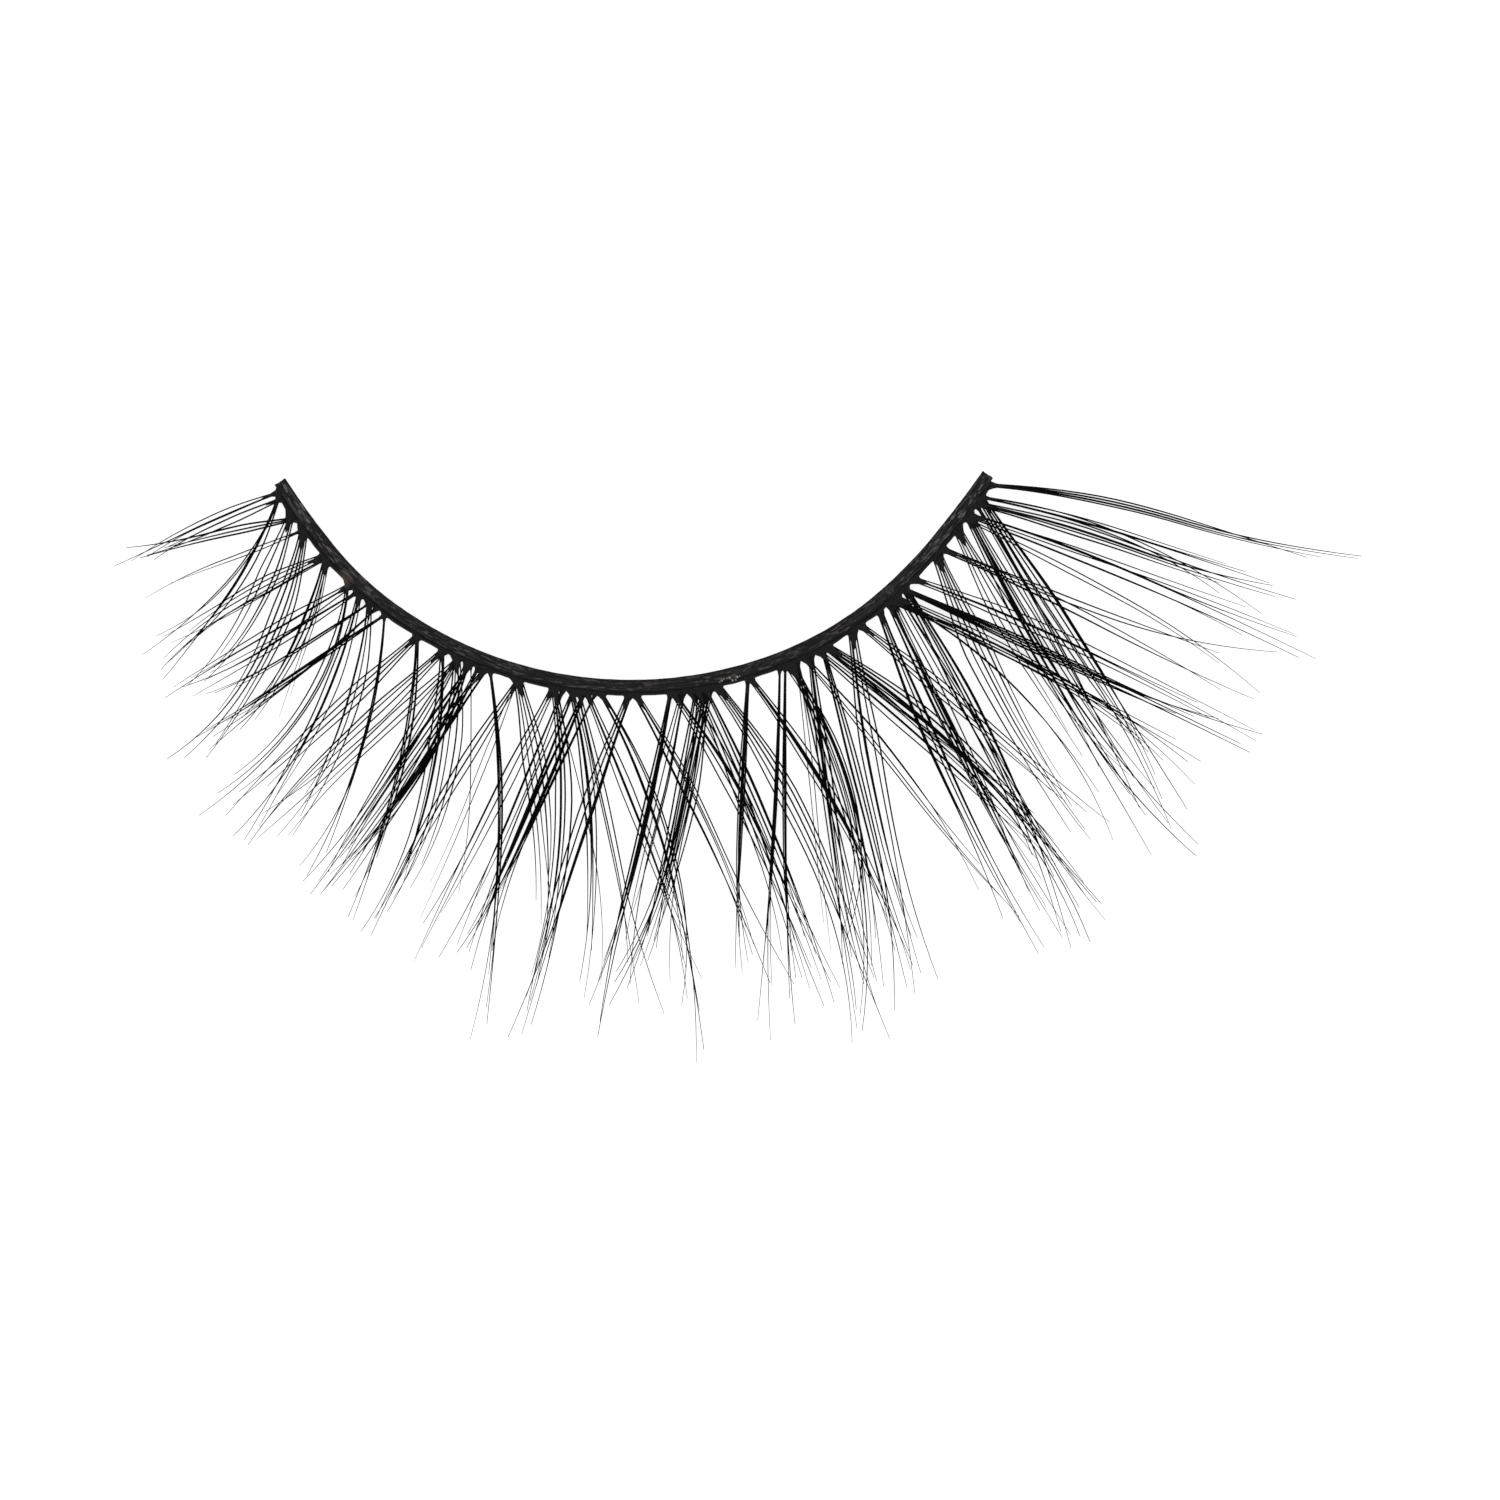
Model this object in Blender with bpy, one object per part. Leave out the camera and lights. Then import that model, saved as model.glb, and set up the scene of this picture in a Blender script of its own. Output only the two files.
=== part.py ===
"""False eyelash strip, lying on its band with the lash tips curling up.

X runs from the inner (short) corner to the outer (long) corner, Z is up,
and the fringe spreads toward -Y. The origin is the middle of the footprint.
Sizes are in metres.
"""

import math
from collections import namedtuple

import bmesh
import bpy
from mathutils import Vector
from mathutils.geometry import intersect_point_line

UP = Vector((0.0, 0.0, 1.0))

# Band: a flat cotton strip, bent in plan only.
BAND_LENGTH = 0.0332
BAND_WIDTH = 0.00048
BAND_HEIGHT = 0.0004
BAND_EDGE_CUT = 0.00005
BAND_STATIONS = 56

# Root lines: the threads of glue that hold the locks along the convex edge.
ROOT_LINE_WIDTH = 0.00015
ROOT_LINE_INSET = 0.0001

# Locks: flat, tapering bundles of lash fibre.
LOCK_PITCH = 0.00115
LOCK_WIDTH = 0.00026
LOCK_THICKNESS = 0.0001
ROOT_FLARE = 0.36
FULL_REACH = 0.0144

# Curl: the locks lie along the table, then rise toward their tips.
BELLY_REACH = 0.003
CURL_RISE = 0.0046
CURL_POWER = 1.9

# Clearances between neighbouring pieces and above the table.
SIDE_GAP = 0.00004
LAYER_GAP = 0.00007
TABLE_GAP = 0.00002

Turn = namedtuple("Turn", "share heading")
Station = namedtuple("Station", "share in_lean in_reach in_bend out_lean out_reach out_bend")
Section = namedtuple("Section", "along width thickness")

# Heading of the band in degrees, at shares of its length from the inner corner.
BAND_TURNS = (
    Turn(0.00, -57.5),
    Turn(0.10, -51.0),
    Turn(0.20, -36.0),
    Turn(0.30, -24.0),
    Turn(0.40, -11.6),
    Turn(0.50, 0.2),
    Turn(0.60, 12.0),
    Turn(0.70, 24.4),
    Turn(0.80, 39.0),
    Turn(0.90, 50.0),
    Turn(1.00, 54.5),
)

# Locks of both layers at shares of the band: lean from the band's outward
# normal in degrees, reach as a share of FULL_REACH, and bend in degrees.
FRINGE = (
    Station(0.00, -9, 0.46, -12, 13, 0.54, -6),
    Station(0.10, -9, 0.52, -8, 22, 0.63, -10),
    Station(0.20, -17, 0.74, -2, 18, 0.74, -8),
    Station(0.30, -13, 0.72, 4, 18, 0.86, -4),
    Station(0.40, -13, 0.80, 6, 13, 0.92, 2),
    Station(0.50, -19, 0.94, 4, 15, 0.96, 10),
    Station(0.60, -28, 0.86, 2, 12, 1.00, 14),
    Station(0.70, -32, 0.95, 2, 12, 0.92, 14),
    Station(0.80, -33, 0.92, 4, 4, 1.00, 12),
    Station(0.90, -29, 0.87, 6, 6, 0.93, 8),
    Station(1.00, -23, 0.96, 6, 31, 1.00, 12),
)

# Reach of one lock after another along the band, as a share of the chart's.
REACH_PATTERN = (1.00, 0.88, 0.95, 0.82)

# One lock from its root line to its tip.
LOCK_SECTIONS = (
    Section(0.03, 0.60, 1.00),
    Section(0.10, 0.72, 1.00),
    Section(0.22, 0.94, 1.00),
    Section(0.36, 1.00, 0.95),
    Section(0.50, 0.90, 0.85),
    Section(0.64, 0.70, 0.70),
    Section(0.78, 0.46, 0.50),
    Section(0.90, 0.27, 0.36),
    Section(1.00, 0.12, 0.24),
)


def interpolate(rows, share, column):
    """Value of a column at a share, on straight lines between the rows."""
    for low, high in zip(rows, rows[1:]):
        if share <= high.share:
            part = (share - low.share) / (high.share - low.share)
            start = getattr(low, column)
            return start + (getattr(high, column) - start) * part
    return getattr(rows[-1], column)


def across(heading):
    """Unit vector toward the fringe side of a band that runs along a heading."""
    angle = math.radians(heading)
    return Vector((math.sin(angle), -math.cos(angle), 0.0))


class Spine:
    """Centre line of the band in plan, stepped from its table of headings."""

    STEPS = 240

    def __init__(self):
        self.points = [Vector((0.0, 0.0, 0.0))]
        step = BAND_LENGTH / self.STEPS
        for index in range(self.STEPS):
            angle = math.radians(self.heading((index + 0.5) / self.STEPS))
            ahead = Vector((math.cos(angle), math.sin(angle), 0.0))
            self.points.append(self.points[-1] + ahead * step)

    def heading(self, share):
        return interpolate(BAND_TURNS, share, "heading")

    def point(self, share, offset=0.0):
        """Plan point at a share of the length, offset toward the fringe."""
        place = min(max(share, 0.0), 1.0) * self.STEPS
        index = min(int(place), self.STEPS - 1)
        on_line = self.points[index].lerp(self.points[index + 1], place - index)
        return on_line + across(self.heading(share)) * offset

    def distance(self, point):
        """Plan distance from a point to the centre line."""
        nearest = math.inf
        for start, end in zip(self.points, self.points[1:]):
            on_line, part = intersect_point_line(point, start, end)
            if part < 0.0:
                on_line = start
            elif part > 1.0:
                on_line = end
            nearest = min(nearest, (point - on_line).length)
        return nearest


def new_material(name, color, roughness):
    material = bpy.data.materials.new(name)
    material.use_nodes = True
    shader = material.node_tree.nodes["Principled BSDF"]
    shader.inputs["Base Color"].default_value = (*color, 1.0)
    shader.inputs["Roughness"].default_value = roughness
    return material


def new_object(name, mesh_data, material):
    """Turn a finished bmesh into a scene object with one material."""
    bmesh.ops.recalc_face_normals(mesh_data, faces=mesh_data.faces)
    mesh = bpy.data.meshes.new(name)
    mesh_data.to_mesh(mesh)
    mesh_data.free()
    mesh.materials.append(material)
    item = bpy.data.objects.new(name, mesh)
    bpy.context.scene.collection.objects.link(item)
    return item


def sweep(spine, mesh_data, section, shares):
    """Closed tube of a section of (offset, height) points along the band."""
    loops = []
    for share in shares:
        places = [spine.point(share, offset) + UP * height for offset, height in section]
        loops.append([mesh_data.verts.new(place) for place in places])
    count = len(section)
    for before, after in zip(loops, loops[1:]):
        for side in range(count):
            follow = (side + 1) % count
            mesh_data.faces.new((before[side], before[follow], after[follow], after[side]))
    mesh_data.faces.new(loops[0])
    mesh_data.faces.new(reversed(loops[-1]))
    return loops


def build_band(spine, material):
    half = BAND_WIDTH / 2
    cut = BAND_EDGE_CUT
    section = (
        (-half + cut, 0.0),
        (half - cut, 0.0),
        (half, cut),
        (half, BAND_HEIGHT - cut),
        (half - cut, BAND_HEIGHT),
        (-half + cut, BAND_HEIGHT),
        (-half, BAND_HEIGHT - cut),
        (-half, cut),
    )
    mesh_data = bmesh.new()
    shares = [index / BAND_STATIONS for index in range(BAND_STATIONS + 1)]
    sweep(spine, mesh_data, section, shares)
    return new_object("band", mesh_data, material)


def curl_height(distance):
    """Rise of a lock above its root, at a plan distance from the band."""
    beyond = max(distance - BELLY_REACH, 0.0) / (FULL_REACH - BELLY_REACH)
    return CURL_RISE * beyond ** CURL_POWER


def lock_path(spine, share, lean, reach, bend):
    """Plan curve of a lock: its root, a control point and its tip."""
    root = spine.point(share, BAND_WIDTH / 2 + SIDE_GAP + ROOT_LINE_WIDTH)
    heading = spine.heading(share) + lean
    tip = root + across(heading) * reach
    sideways = across(heading + 90.0)
    swing = reach / 2 * math.tan(math.radians(bend) / 2)
    return root, root.lerp(tip, 0.5) + sideways * swing, tip


def lock_corners(spine, path, section, level):
    """The four corners of one lock section, laid on the curled surface."""
    root, control, tip = path
    first = root.lerp(control, section.along)
    second = control.lerp(tip, section.along)
    centre = first.lerp(second, section.along)
    ahead = (second - first).normalized()
    side = Vector((-ahead.y, ahead.x, 0.0)) * (LOCK_WIDTH / 2 * section.width)
    half = LOCK_THICKNESS / 2 * section.thickness
    corners = []
    for offset, lift in ((-side, -half), (side, -half), (side, half), (-side, half)):
        place = centre + offset
        rise = curl_height(spine.distance(place))
        corners.append(place + UP * (level + rise + lift))
    return corners


def draw_lock(spine, mesh_data, corners, path, level):
    """Extrude one lock out of the root line's face between four corners."""
    face = next(face for face in corners[0].link_faces if set(face.verts) == set(corners))
    order = [corners.index(vertex) for vertex in face.verts]
    for section in LOCK_SECTIONS:
        grown = bmesh.ops.extrude_discrete_faces(mesh_data, faces=[face])
        face = grown["faces"][0]
        places = lock_corners(spine, path, section, level)
        for vertex, number in zip(face.verts, order):
            vertex.co = places[number]


def root_shares():
    """Shares of the band at which the locks leave it."""
    first = (ROOT_LINE_INSET + LOCK_PITCH * ROOT_FLARE) / BAND_LENGTH
    run = 1.0 - 2 * first
    count = max(round(run * BAND_LENGTH / LOCK_PITCH), 2)
    return [first + run * index / count for index in range(count + 1)]


def build_fringe(spine, name, side, level, material):
    """One layer: a root line with a lock drawn out of it at every share."""
    inset = ROOT_LINE_INSET / BAND_LENGTH
    half_flare = LOCK_PITCH * ROOT_FLARE / 2 / BAND_LENGTH
    shares = root_shares()
    stops = [inset]
    for share in shares:
        stops += [share - half_flare, share + half_flare]
    stops.append(1.0 - inset)
    inner = BAND_WIDTH / 2 + SIDE_GAP
    outer = inner + ROOT_LINE_WIDTH
    low = level - LOCK_THICKNESS / 2
    high = level + LOCK_THICKNESS / 2
    section = ((inner, low), (outer, low), (outer, high), (inner, high))
    mesh_data = bmesh.new()
    loops = sweep(spine, mesh_data, section, stops)
    for index, share in enumerate(shares):
        lean = interpolate(FRINGE, share, side + "_lean")
        bend = interpolate(FRINGE, share, side + "_bend")
        reach = FULL_REACH * interpolate(FRINGE, share, side + "_reach")
        reach *= REACH_PATTERN[index % len(REACH_PATTERN)]
        before = loops[2 * index + 1]
        after = loops[2 * index + 2]
        corners = (before[1], after[1], after[2], before[2])
        path = lock_path(spine, share, lean, reach, bend)
        draw_lock(spine, mesh_data, corners, path, level)
    return new_object(name, mesh_data, material)


def centre_footprint(items):
    """Hold the pieces on an empty placed so that the footprint is centred."""
    points = [vertex.co for item in items for vertex in item.data.vertices]
    middle_x = (min(p.x for p in points) + max(p.x for p in points)) / 2
    middle_y = (min(p.y for p in points) + max(p.y for p in points)) / 2
    holder = bpy.data.objects.new("eyelash_strip", None)
    bpy.context.scene.collection.objects.link(holder)
    holder.location = (-middle_x, -middle_y, 0.0)
    for item in items:
        item.parent = holder


def main():
    for item in list(bpy.data.objects):
        bpy.data.objects.remove(item)
    cotton = new_material("band_cotton", (0.016, 0.014, 0.013), 0.85)
    inward_fibre = new_material("inward_fibre", (0.006, 0.006, 0.006), 0.45)
    outward_fibre = new_material("outward_fibre", (0.006, 0.006, 0.006), 0.45)
    spine = Spine()
    lower_level = TABLE_GAP + LOCK_THICKNESS / 2
    upper_level = lower_level + LOCK_THICKNESS + LAYER_GAP
    centre_footprint([
        build_band(spine, cotton),
        build_fringe(spine, "fringe_inward", "in", lower_level, inward_fibre),
        build_fringe(spine, "fringe_outward", "out", upper_level, outward_fibre),
    ])


main()
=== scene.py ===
"""False eyelash strip: the finished look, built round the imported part.

Laid out as an add-on that runs as a script, with an operator for each group
of pieces. Sizes are in metres in the part's own frame: X runs from the inner
to the outer corner of the eye, Z is up, and the fringe spreads toward -Y.
"""

import math
import random
from collections import namedtuple
import bmesh
import bpy
from bpy.props import FloatProperty, FloatVectorProperty, IntProperty, PointerProperty
from mathutils import Matrix, Vector, noise
from mathutils.kdtree import KDTree


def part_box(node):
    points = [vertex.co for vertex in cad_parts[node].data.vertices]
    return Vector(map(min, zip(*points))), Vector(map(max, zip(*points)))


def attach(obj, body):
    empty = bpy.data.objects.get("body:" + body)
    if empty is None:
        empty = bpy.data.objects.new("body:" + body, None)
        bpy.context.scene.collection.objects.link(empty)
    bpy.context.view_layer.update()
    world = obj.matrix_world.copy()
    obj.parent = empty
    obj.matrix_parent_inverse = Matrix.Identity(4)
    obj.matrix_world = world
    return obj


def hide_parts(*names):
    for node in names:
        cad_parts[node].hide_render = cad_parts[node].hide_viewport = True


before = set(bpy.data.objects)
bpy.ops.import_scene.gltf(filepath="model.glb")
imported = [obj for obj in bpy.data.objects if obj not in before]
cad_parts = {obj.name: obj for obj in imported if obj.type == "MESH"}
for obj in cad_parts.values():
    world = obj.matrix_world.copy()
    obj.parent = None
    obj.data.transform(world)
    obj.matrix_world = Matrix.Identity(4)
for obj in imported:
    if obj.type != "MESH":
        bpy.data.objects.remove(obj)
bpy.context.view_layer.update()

bl_info = {
    "name": "False Eyelash Strip",
    "version": (1, 0, 0),
    "blender": (4, 5, 0),
    "location": "3D View > Sidebar > Lashes",
    "description": "Builds the cotton band, root glue and lash tufts of a strip lash",
    "category": "Object",
}

MILLIMETRE = 0.001

# Height of the hairs' roots above the underside of their layer.
ROOT_LIFT = 0.00005
BAND_LOW, BAND_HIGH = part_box("band")
INWARD_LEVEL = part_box("fringe_inward")[0].z + ROOT_LIFT
OUTWARD_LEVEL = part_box("fringe_outward")[0].z + ROOT_LIFT

# Divisions of the meshes.
BAND_STEPS = 330
CUTS_PER_THREAD = 3
HAIR_SIDES = 6
HAIR_STEPS = 20
WEB_SIDES = 12
WEB_STEPS = 9
BEAD_SIDES = 10
BEAD_STEPS = 420

# Smooth noise: its scale, size and seed. The wander is counted in threads, the
# lumps in thread depths, and the bead's wave and crumbs' bumps in radii.
Unevenness = namedtuple("Unevenness", "scale size seed")
THREAD_WANDER = Unevenness(900.0, 0.6, 1.0)
THREAD_LUMPS = Unevenness(3500.0, 0.8, 4.0)
EDGE_SWELL = Unevenness(1600.0, 0.000012, 9.0)
END_FRAY = Unevenness(9000.0, 0.00003, 2.0)
BEAD_WAVE = Unevenness(1500.0, 1.0, 5.0)
CRUMB_BUMPS = Unevenness(18000.0, 0.45, 0.0)

# Steps through the noise that keep the band's two edges, and its two ends, unlike.
EDGE_SHIFT = 0.001
END_STRETCH = 20.0

# Share of the band's height that counts as its top or its underside, and how
# near an end of the band a point counts as part of it.
FACE_SHARE = 0.1
END_MARGIN = 1e-7

# The glue darkens the cotton from this share of the half width outward. Wear
# bares the fibres between these shares of the length, counted from the middle.
GLUED_EDGE = 0.72
GLUED_SHADE = 0.45
WEAR_SHARES = (0.28, 0.45)
LEAST_WEAR = 0.45

# Brown stain near the inner corner: place along, across and up the band.
STAIN_SHARE = 0.134
STAIN_OFFSET = 0.00012
STAIN_HEIGHT = 0.8
STAIN_RADIUS = 0.00045
STAIN_COLOR = (0.32, 0.23, 0.18)

# Bead of glue: share left bare at each end, sway, swell against its own radius,
# and height and depth against the band's height and the bead's width.
BEAD_BARE = 0.006
BEAD_SWAY = 0.00003
BEAD_SWELL = 0.3
BEAD_HEIGHT = 0.45
BEAD_DEPTH = 1.3

# Web of glue: share that lies inside the band, how fast its flare fades, share
# at which it starts to taper, how far it tapers, and lift above the hairs' roots.
WEB_INSIDE = 0.4
FLARE_FADE = 3.2
WEB_TAPER_START = 0.5
WEB_TAPER = 0.8
WEB_LIFT = 0.00002

# Crumbs of clear glue along the lower edge. Offsets are shares of the half width.
CRUMBS = 9
CRUMB_START = 0.598
CRUMB_RUN = 0.024
CRUMB_SCATTER = 0.001
CRUMB_RADII = (0.000025, 0.00006)
CRUMB_OFFSETS = (0.5, 1.1)
CRUMB_FLATNESS = 0.45

# Gaps between neighbouring hairs where a tuft is widest: stuck together, or apart.
HAIR_GAPS = (0.00003, 0.00005, 0.00017, 0.00021, 0.00024)

# Lengths of a tuft's hairs, as shares of its reach.
LONGEST_HAIR = 1.08
SHORTENING = 0.32
SHORTENING_POWER = 1.3
LENGTH_SCATTER = 0.06

# Course of a hair: length hidden in the glue, sideways bulge of its middle, and
# sideways fan of its tip for a usual reach in millimetres, from a share onward.
HIDDEN_ROOT = 0.00016
BULGE = 0.00003
FAN = 0.0006
USUAL_REACH = 12.0
FAN_START = 0.55
THICKNESS_SCATTER = (0.84, 1.14)
TAPER_POWER = 1.1
STRAIGHT_ANGLE = 1e-6

# Height by which a hair floats off its layer, near the root and per share of
# its length from a share onward, and its least gap above the table.
ROOT_FLOAT = 0.00002
TIP_FLOAT = 0.0003
FLOAT_START = 0.05
TABLE_GAP = 0.000005

# Colouring of the hairs: seeds that get a browner colour as a painted sheen, shares that are glued,
# and how far apart the seeds spread the hairs in the noise.
SHEEN_SEEDS = (0.6, 1.0)
GLUED_SHARES = (0.03, 0.16)
SEED_SPREAD = 7.0

# Span in which most of a noise's values lie.
NOISE_SPAN = (0.3, 0.7)
FLECK_SOFTNESS = 0.08
MOTTLE = 1.01

# Factor and two colours among the Mix node's inputs, and the colour among its
# outputs. Its other data types share their names.
MIX_INPUTS = (0, 6, 7)
MIX_OUTPUT = 2

LIGHT_SIZE = 0.5
LIGHT_DISTANCE = 0.7
FLOOR_HALF_WIDTH = 2.0

Turn = namedtuple("Turn", "share heading")
Tuft = namedtuple(
    "Tuft", "share lean turn reach hairs weight spread flick", defaults=(1.0, 1.0, 0.0)
)

# Heading of the band in degrees, at shares of its length from the inner corner.
BAND_TURNS = (
    Turn(0.00, -57.5),
    Turn(0.10, -51.0),
    Turn(0.20, -36.0),
    Turn(0.30, -24.0),
    Turn(0.40, -11.6),
    Turn(0.50, 0.2),
    Turn(0.60, 12.0),
    Turn(0.70, 24.4),
    Turn(0.80, 39.0),
    Turn(0.90, 50.0),
    Turn(1.00, 54.5),
)

# Tufts, charted from the inner corner to the outer one: share of the
# band at the root, lean at the root in degrees from straight down (toward the
# outer corner is positive), turn from root to tip in degrees, reach in
# millimetres, count of hairs, weight and spread against a usual tuft, and
# how far the tips flick back outward, in millimetres.
TUFTS = (
    Tuft(0.010, -72, 14, 6.5, 3),
    Tuft(0.018, -68, 4, 5.6, 3, 1.0, 1.2),
    Tuft(0.047, -81, 8, 6.3, 3, 1.1, 0.6),
    Tuft(0.011, -17, -34, 8.2, 3),
    Tuft(0.013, -21, -42, 8.0, 2, 0.8),
    Tuft(0.036, -17, -20, 7.6, 4, 1.0, 1.2),
    Tuft(0.062, -67, -6, 6.2, 2, 0.8),
    Tuft(0.060, -10, -32, 9.9, 5, 1.1),
    Tuft(0.101, -68, 16, 7.4, 4, 1.0, 1.1),
    Tuft(0.104, -62, 4, 6.6, 2, 0.8),
    Tuft(0.100, -10, -33, 7.4, 4, 1.1, 0.8),
    Tuft(0.105, -10, -18, 6.0, 2, 0.6),
    Tuft(0.145, -59, -2, 7.9, 4, 1.0, 1.1),
    Tuft(0.156, -57, -3, 7.6, 3),
    Tuft(0.175, -57, -2, 7.0, 3),
    Tuft(0.184, -47, -10, 8.3, 3),
    Tuft(0.197, -57, 1, 8.2, 4),
    Tuft(0.138, -6, -54, 10.4, 3),
    Tuft(0.157, -12, -28, 10.5, 4),
    Tuft(0.171, -2, -36, 9.8, 4),
    Tuft(0.193, -3, -26, 10.4, 4),
    Tuft(0.241, -47, -1, 9.8, 4),
    Tuft(0.238, -1, -26, 10.8, 6, 1.1, 0.5),
    Tuft(0.275, -47, -1, 10.2, 4),
    Tuft(0.295, -47, 0, 9.8, 3),
    Tuft(0.271, -2, -20, 10.8, 4),
    Tuft(0.292, -30, -4, 10.3, 4),
    Tuft(0.289, 2, -28, 9.8, 4),
    Tuft(0.304, -19, -24, 9.6, 5),
    Tuft(0.307, 0, -2, 8.5, 1, 0.7),
    Tuft(0.310, -36, 2, 9.8, 3),
    Tuft(0.318, -27, -16, 10.5, 3),
    Tuft(0.327, -38, 6, 9.9, 4),
    Tuft(0.330, 8, -20, 13.4, 5, 1.0, 1.2),
    Tuft(0.367, -35, 8, 10.8, 3),
    Tuft(0.364, -22, 0, 9.5, 2, 0.6),
    Tuft(0.363, 14, -16, 9.8, 5),
    Tuft(0.407, -27, 0, 11.5, 4),
    Tuft(0.406, 10, -30, 12.4, 5, 1.1),
    Tuft(0.404, 16, -8, 11.5, 1, 0.7),
    Tuft(0.418, -21, -5, 10.9, 3),
    Tuft(0.430, -23, 1, 11.1, 4),
    Tuft(0.443, -24, 0, 10.7, 5, 1.2),
    Tuft(0.456, -27, 3, 10.1, 3),
    Tuft(0.426, 14, -24, 11.2, 4),
    Tuft(0.434, 14, -5, 12.5, 3),
    Tuft(0.443, 23, -4, 12.0, 5),
    Tuft(0.459, 31, -33, 13.9, 5, 1.1),
    Tuft(0.494, -22, 8, 13.6, 5),
    Tuft(0.499, 31, -12, 12.0, 5, 1.0, 1.1),
    Tuft(0.541, -11, -6, 13.0, 5, 1.1),
    Tuft(0.541, 35, -18, 12.4, 5),
    Tuft(0.555, -13, -2, 11.0, 4),
    Tuft(0.571, -8, -8, 11.5, 3),
    Tuft(0.580, -6, -17, 12.0, 5, 1.2),
    Tuft(0.588, -14, 4, 11.0, 4),
    Tuft(0.560, 30, -10, 10.3, 2),
    Tuft(0.570, 24, -10, 12.7, 4),
    Tuft(0.579, 27, -10, 12.4, 4),
    Tuft(0.592, 37, -26, 14.6, 5, 1.1),
    Tuft(0.631, -4, 2, 11.1, 6, 1.1, 0.5),
    Tuft(0.631, 38, -18, 12.5, 5, 1.0, 1.1),
    Tuft(0.669, -1, -6, 13.4, 4),
    Tuft(0.676, -1, 2, 13.1, 4),
    Tuft(0.675, 38, -46, 10.9, 4),
    Tuft(0.690, 8, -6, 10.9, 2, 0.6),
    Tuft(0.690, 13, 0, 12.5, 2),
    Tuft(0.682, 28, -30, 13.8, 5, 1.1),
    Tuft(0.707, 7, 0, 14.0, 5),
    Tuft(0.722, 16, -5, 13.6, 4, 1.1, 0.8),
    Tuft(0.697, 43, -12, 12.2, 4),
    Tuft(0.714, 50, -4, 12.0, 4),
    Tuft(0.725, 58, -28, 15.2, 6, 1.2),
    Tuft(0.722, 52, 0, 11.0, 3),
    Tuft(0.762, 7, 8, 13.6, 6, 1.0, 1.1),
    Tuft(0.771, 52, -6, 11.5, 4),
    Tuft(0.800, 20, 8, 14.1, 5, 1.2),
    Tuft(0.813, 25, 3, 14.0, 5),
    Tuft(0.819, 26, -2, 12.4, 4),
    Tuft(0.827, 31, -2, 14.0, 3),
    Tuft(0.838, 31, -12, 14.6, 5, 1.2),
    Tuft(0.822, 66, -12, 12.9, 3),
    Tuft(0.814, 68, -12, 13.0, 4, 1.2, 0.5, 0.4),
    Tuft(0.820, 62, -36, 12.0, 2),
    Tuft(0.835, 66, -3, 14.3, 6, 1.2, 0.4, 0.4),
    Tuft(0.851, 71, -14, 14.0, 4, 1.0, 1.0, 0.4),
    Tuft(0.892, 21, 12, 11.9, 6),
    Tuft(0.897, 68, -12, 12.6, 3),
    Tuft(0.900, 66, 6, 12.6, 2),
    Tuft(0.929, 27, 8, 11.2, 5),
    Tuft(0.948, 26, 7, 14.8, 4, 1.2),
    Tuft(0.953, 28, 8, 14.4, 4),
    Tuft(0.965, 31, -6, 12.7, 3),
    Tuft(0.974, 32, 1, 14.0, 6, 1.1),
    Tuft(0.973, 80, -16, 11.2, 3, 1.0, 0.8, 0.3),
    Tuft(0.964, 77, -14, 12.0, 5, 1.2, 0.6, 0.3),
    Tuft(0.973, 82, -30, 11.3, 2),
    Tuft(0.950, 73, -14, 13.6, 3, 1.0, 1.0, 0.4),
    Tuft(0.946, 69, -4, 12.9, 2),
    Tuft(0.943, 64, -6, 12.6, 2),
    Tuft(0.948, 72, -4, 12.6, 2),
    Tuft(0.990, 86, -25, 13.8, 5, 1.2, 0.45, 0.7),
)


class BandSettings(bpy.types.PropertyGroup):
    """Sizes and colours of the cotton band."""

    length: FloatProperty(
        name="Length", description="Length along the band", default=0.0332, unit="LENGTH"
    )
    width: FloatProperty(
        name="Width", description="Width across the band", default=0.00048, unit="LENGTH"
    )
    edge_radius: FloatProperty(
        name="Edge radius", description="Rounding of the long edges", default=0.00007, unit="LENGTH"
    )
    threads: IntProperty(
        name="Threads", description="Cotton threads side by side", default=6, min=1
    )
    thread_depth: FloatProperty(
        name="Thread depth",
        description="Depth of the grooves between threads",
        default=0.000011,
        unit="LENGTH",
    )
    cotton: FloatVectorProperty(
        name="Cotton",
        description="Colour of the dyed cotton",
        default=(0.023, 0.021, 0.021),
        subtype="COLOR",
    )
    fibre: FloatVectorProperty(
        name="Fibre",
        description="Colour of the worn fibres",
        default=(0.1, 0.095, 0.093),
        subtype="COLOR",
    )
    lint: FloatVectorProperty(
        name="Lint",
        description="Colour of the palest fibres",
        default=(0.24, 0.23, 0.225),
        subtype="COLOR",
    )


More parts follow.
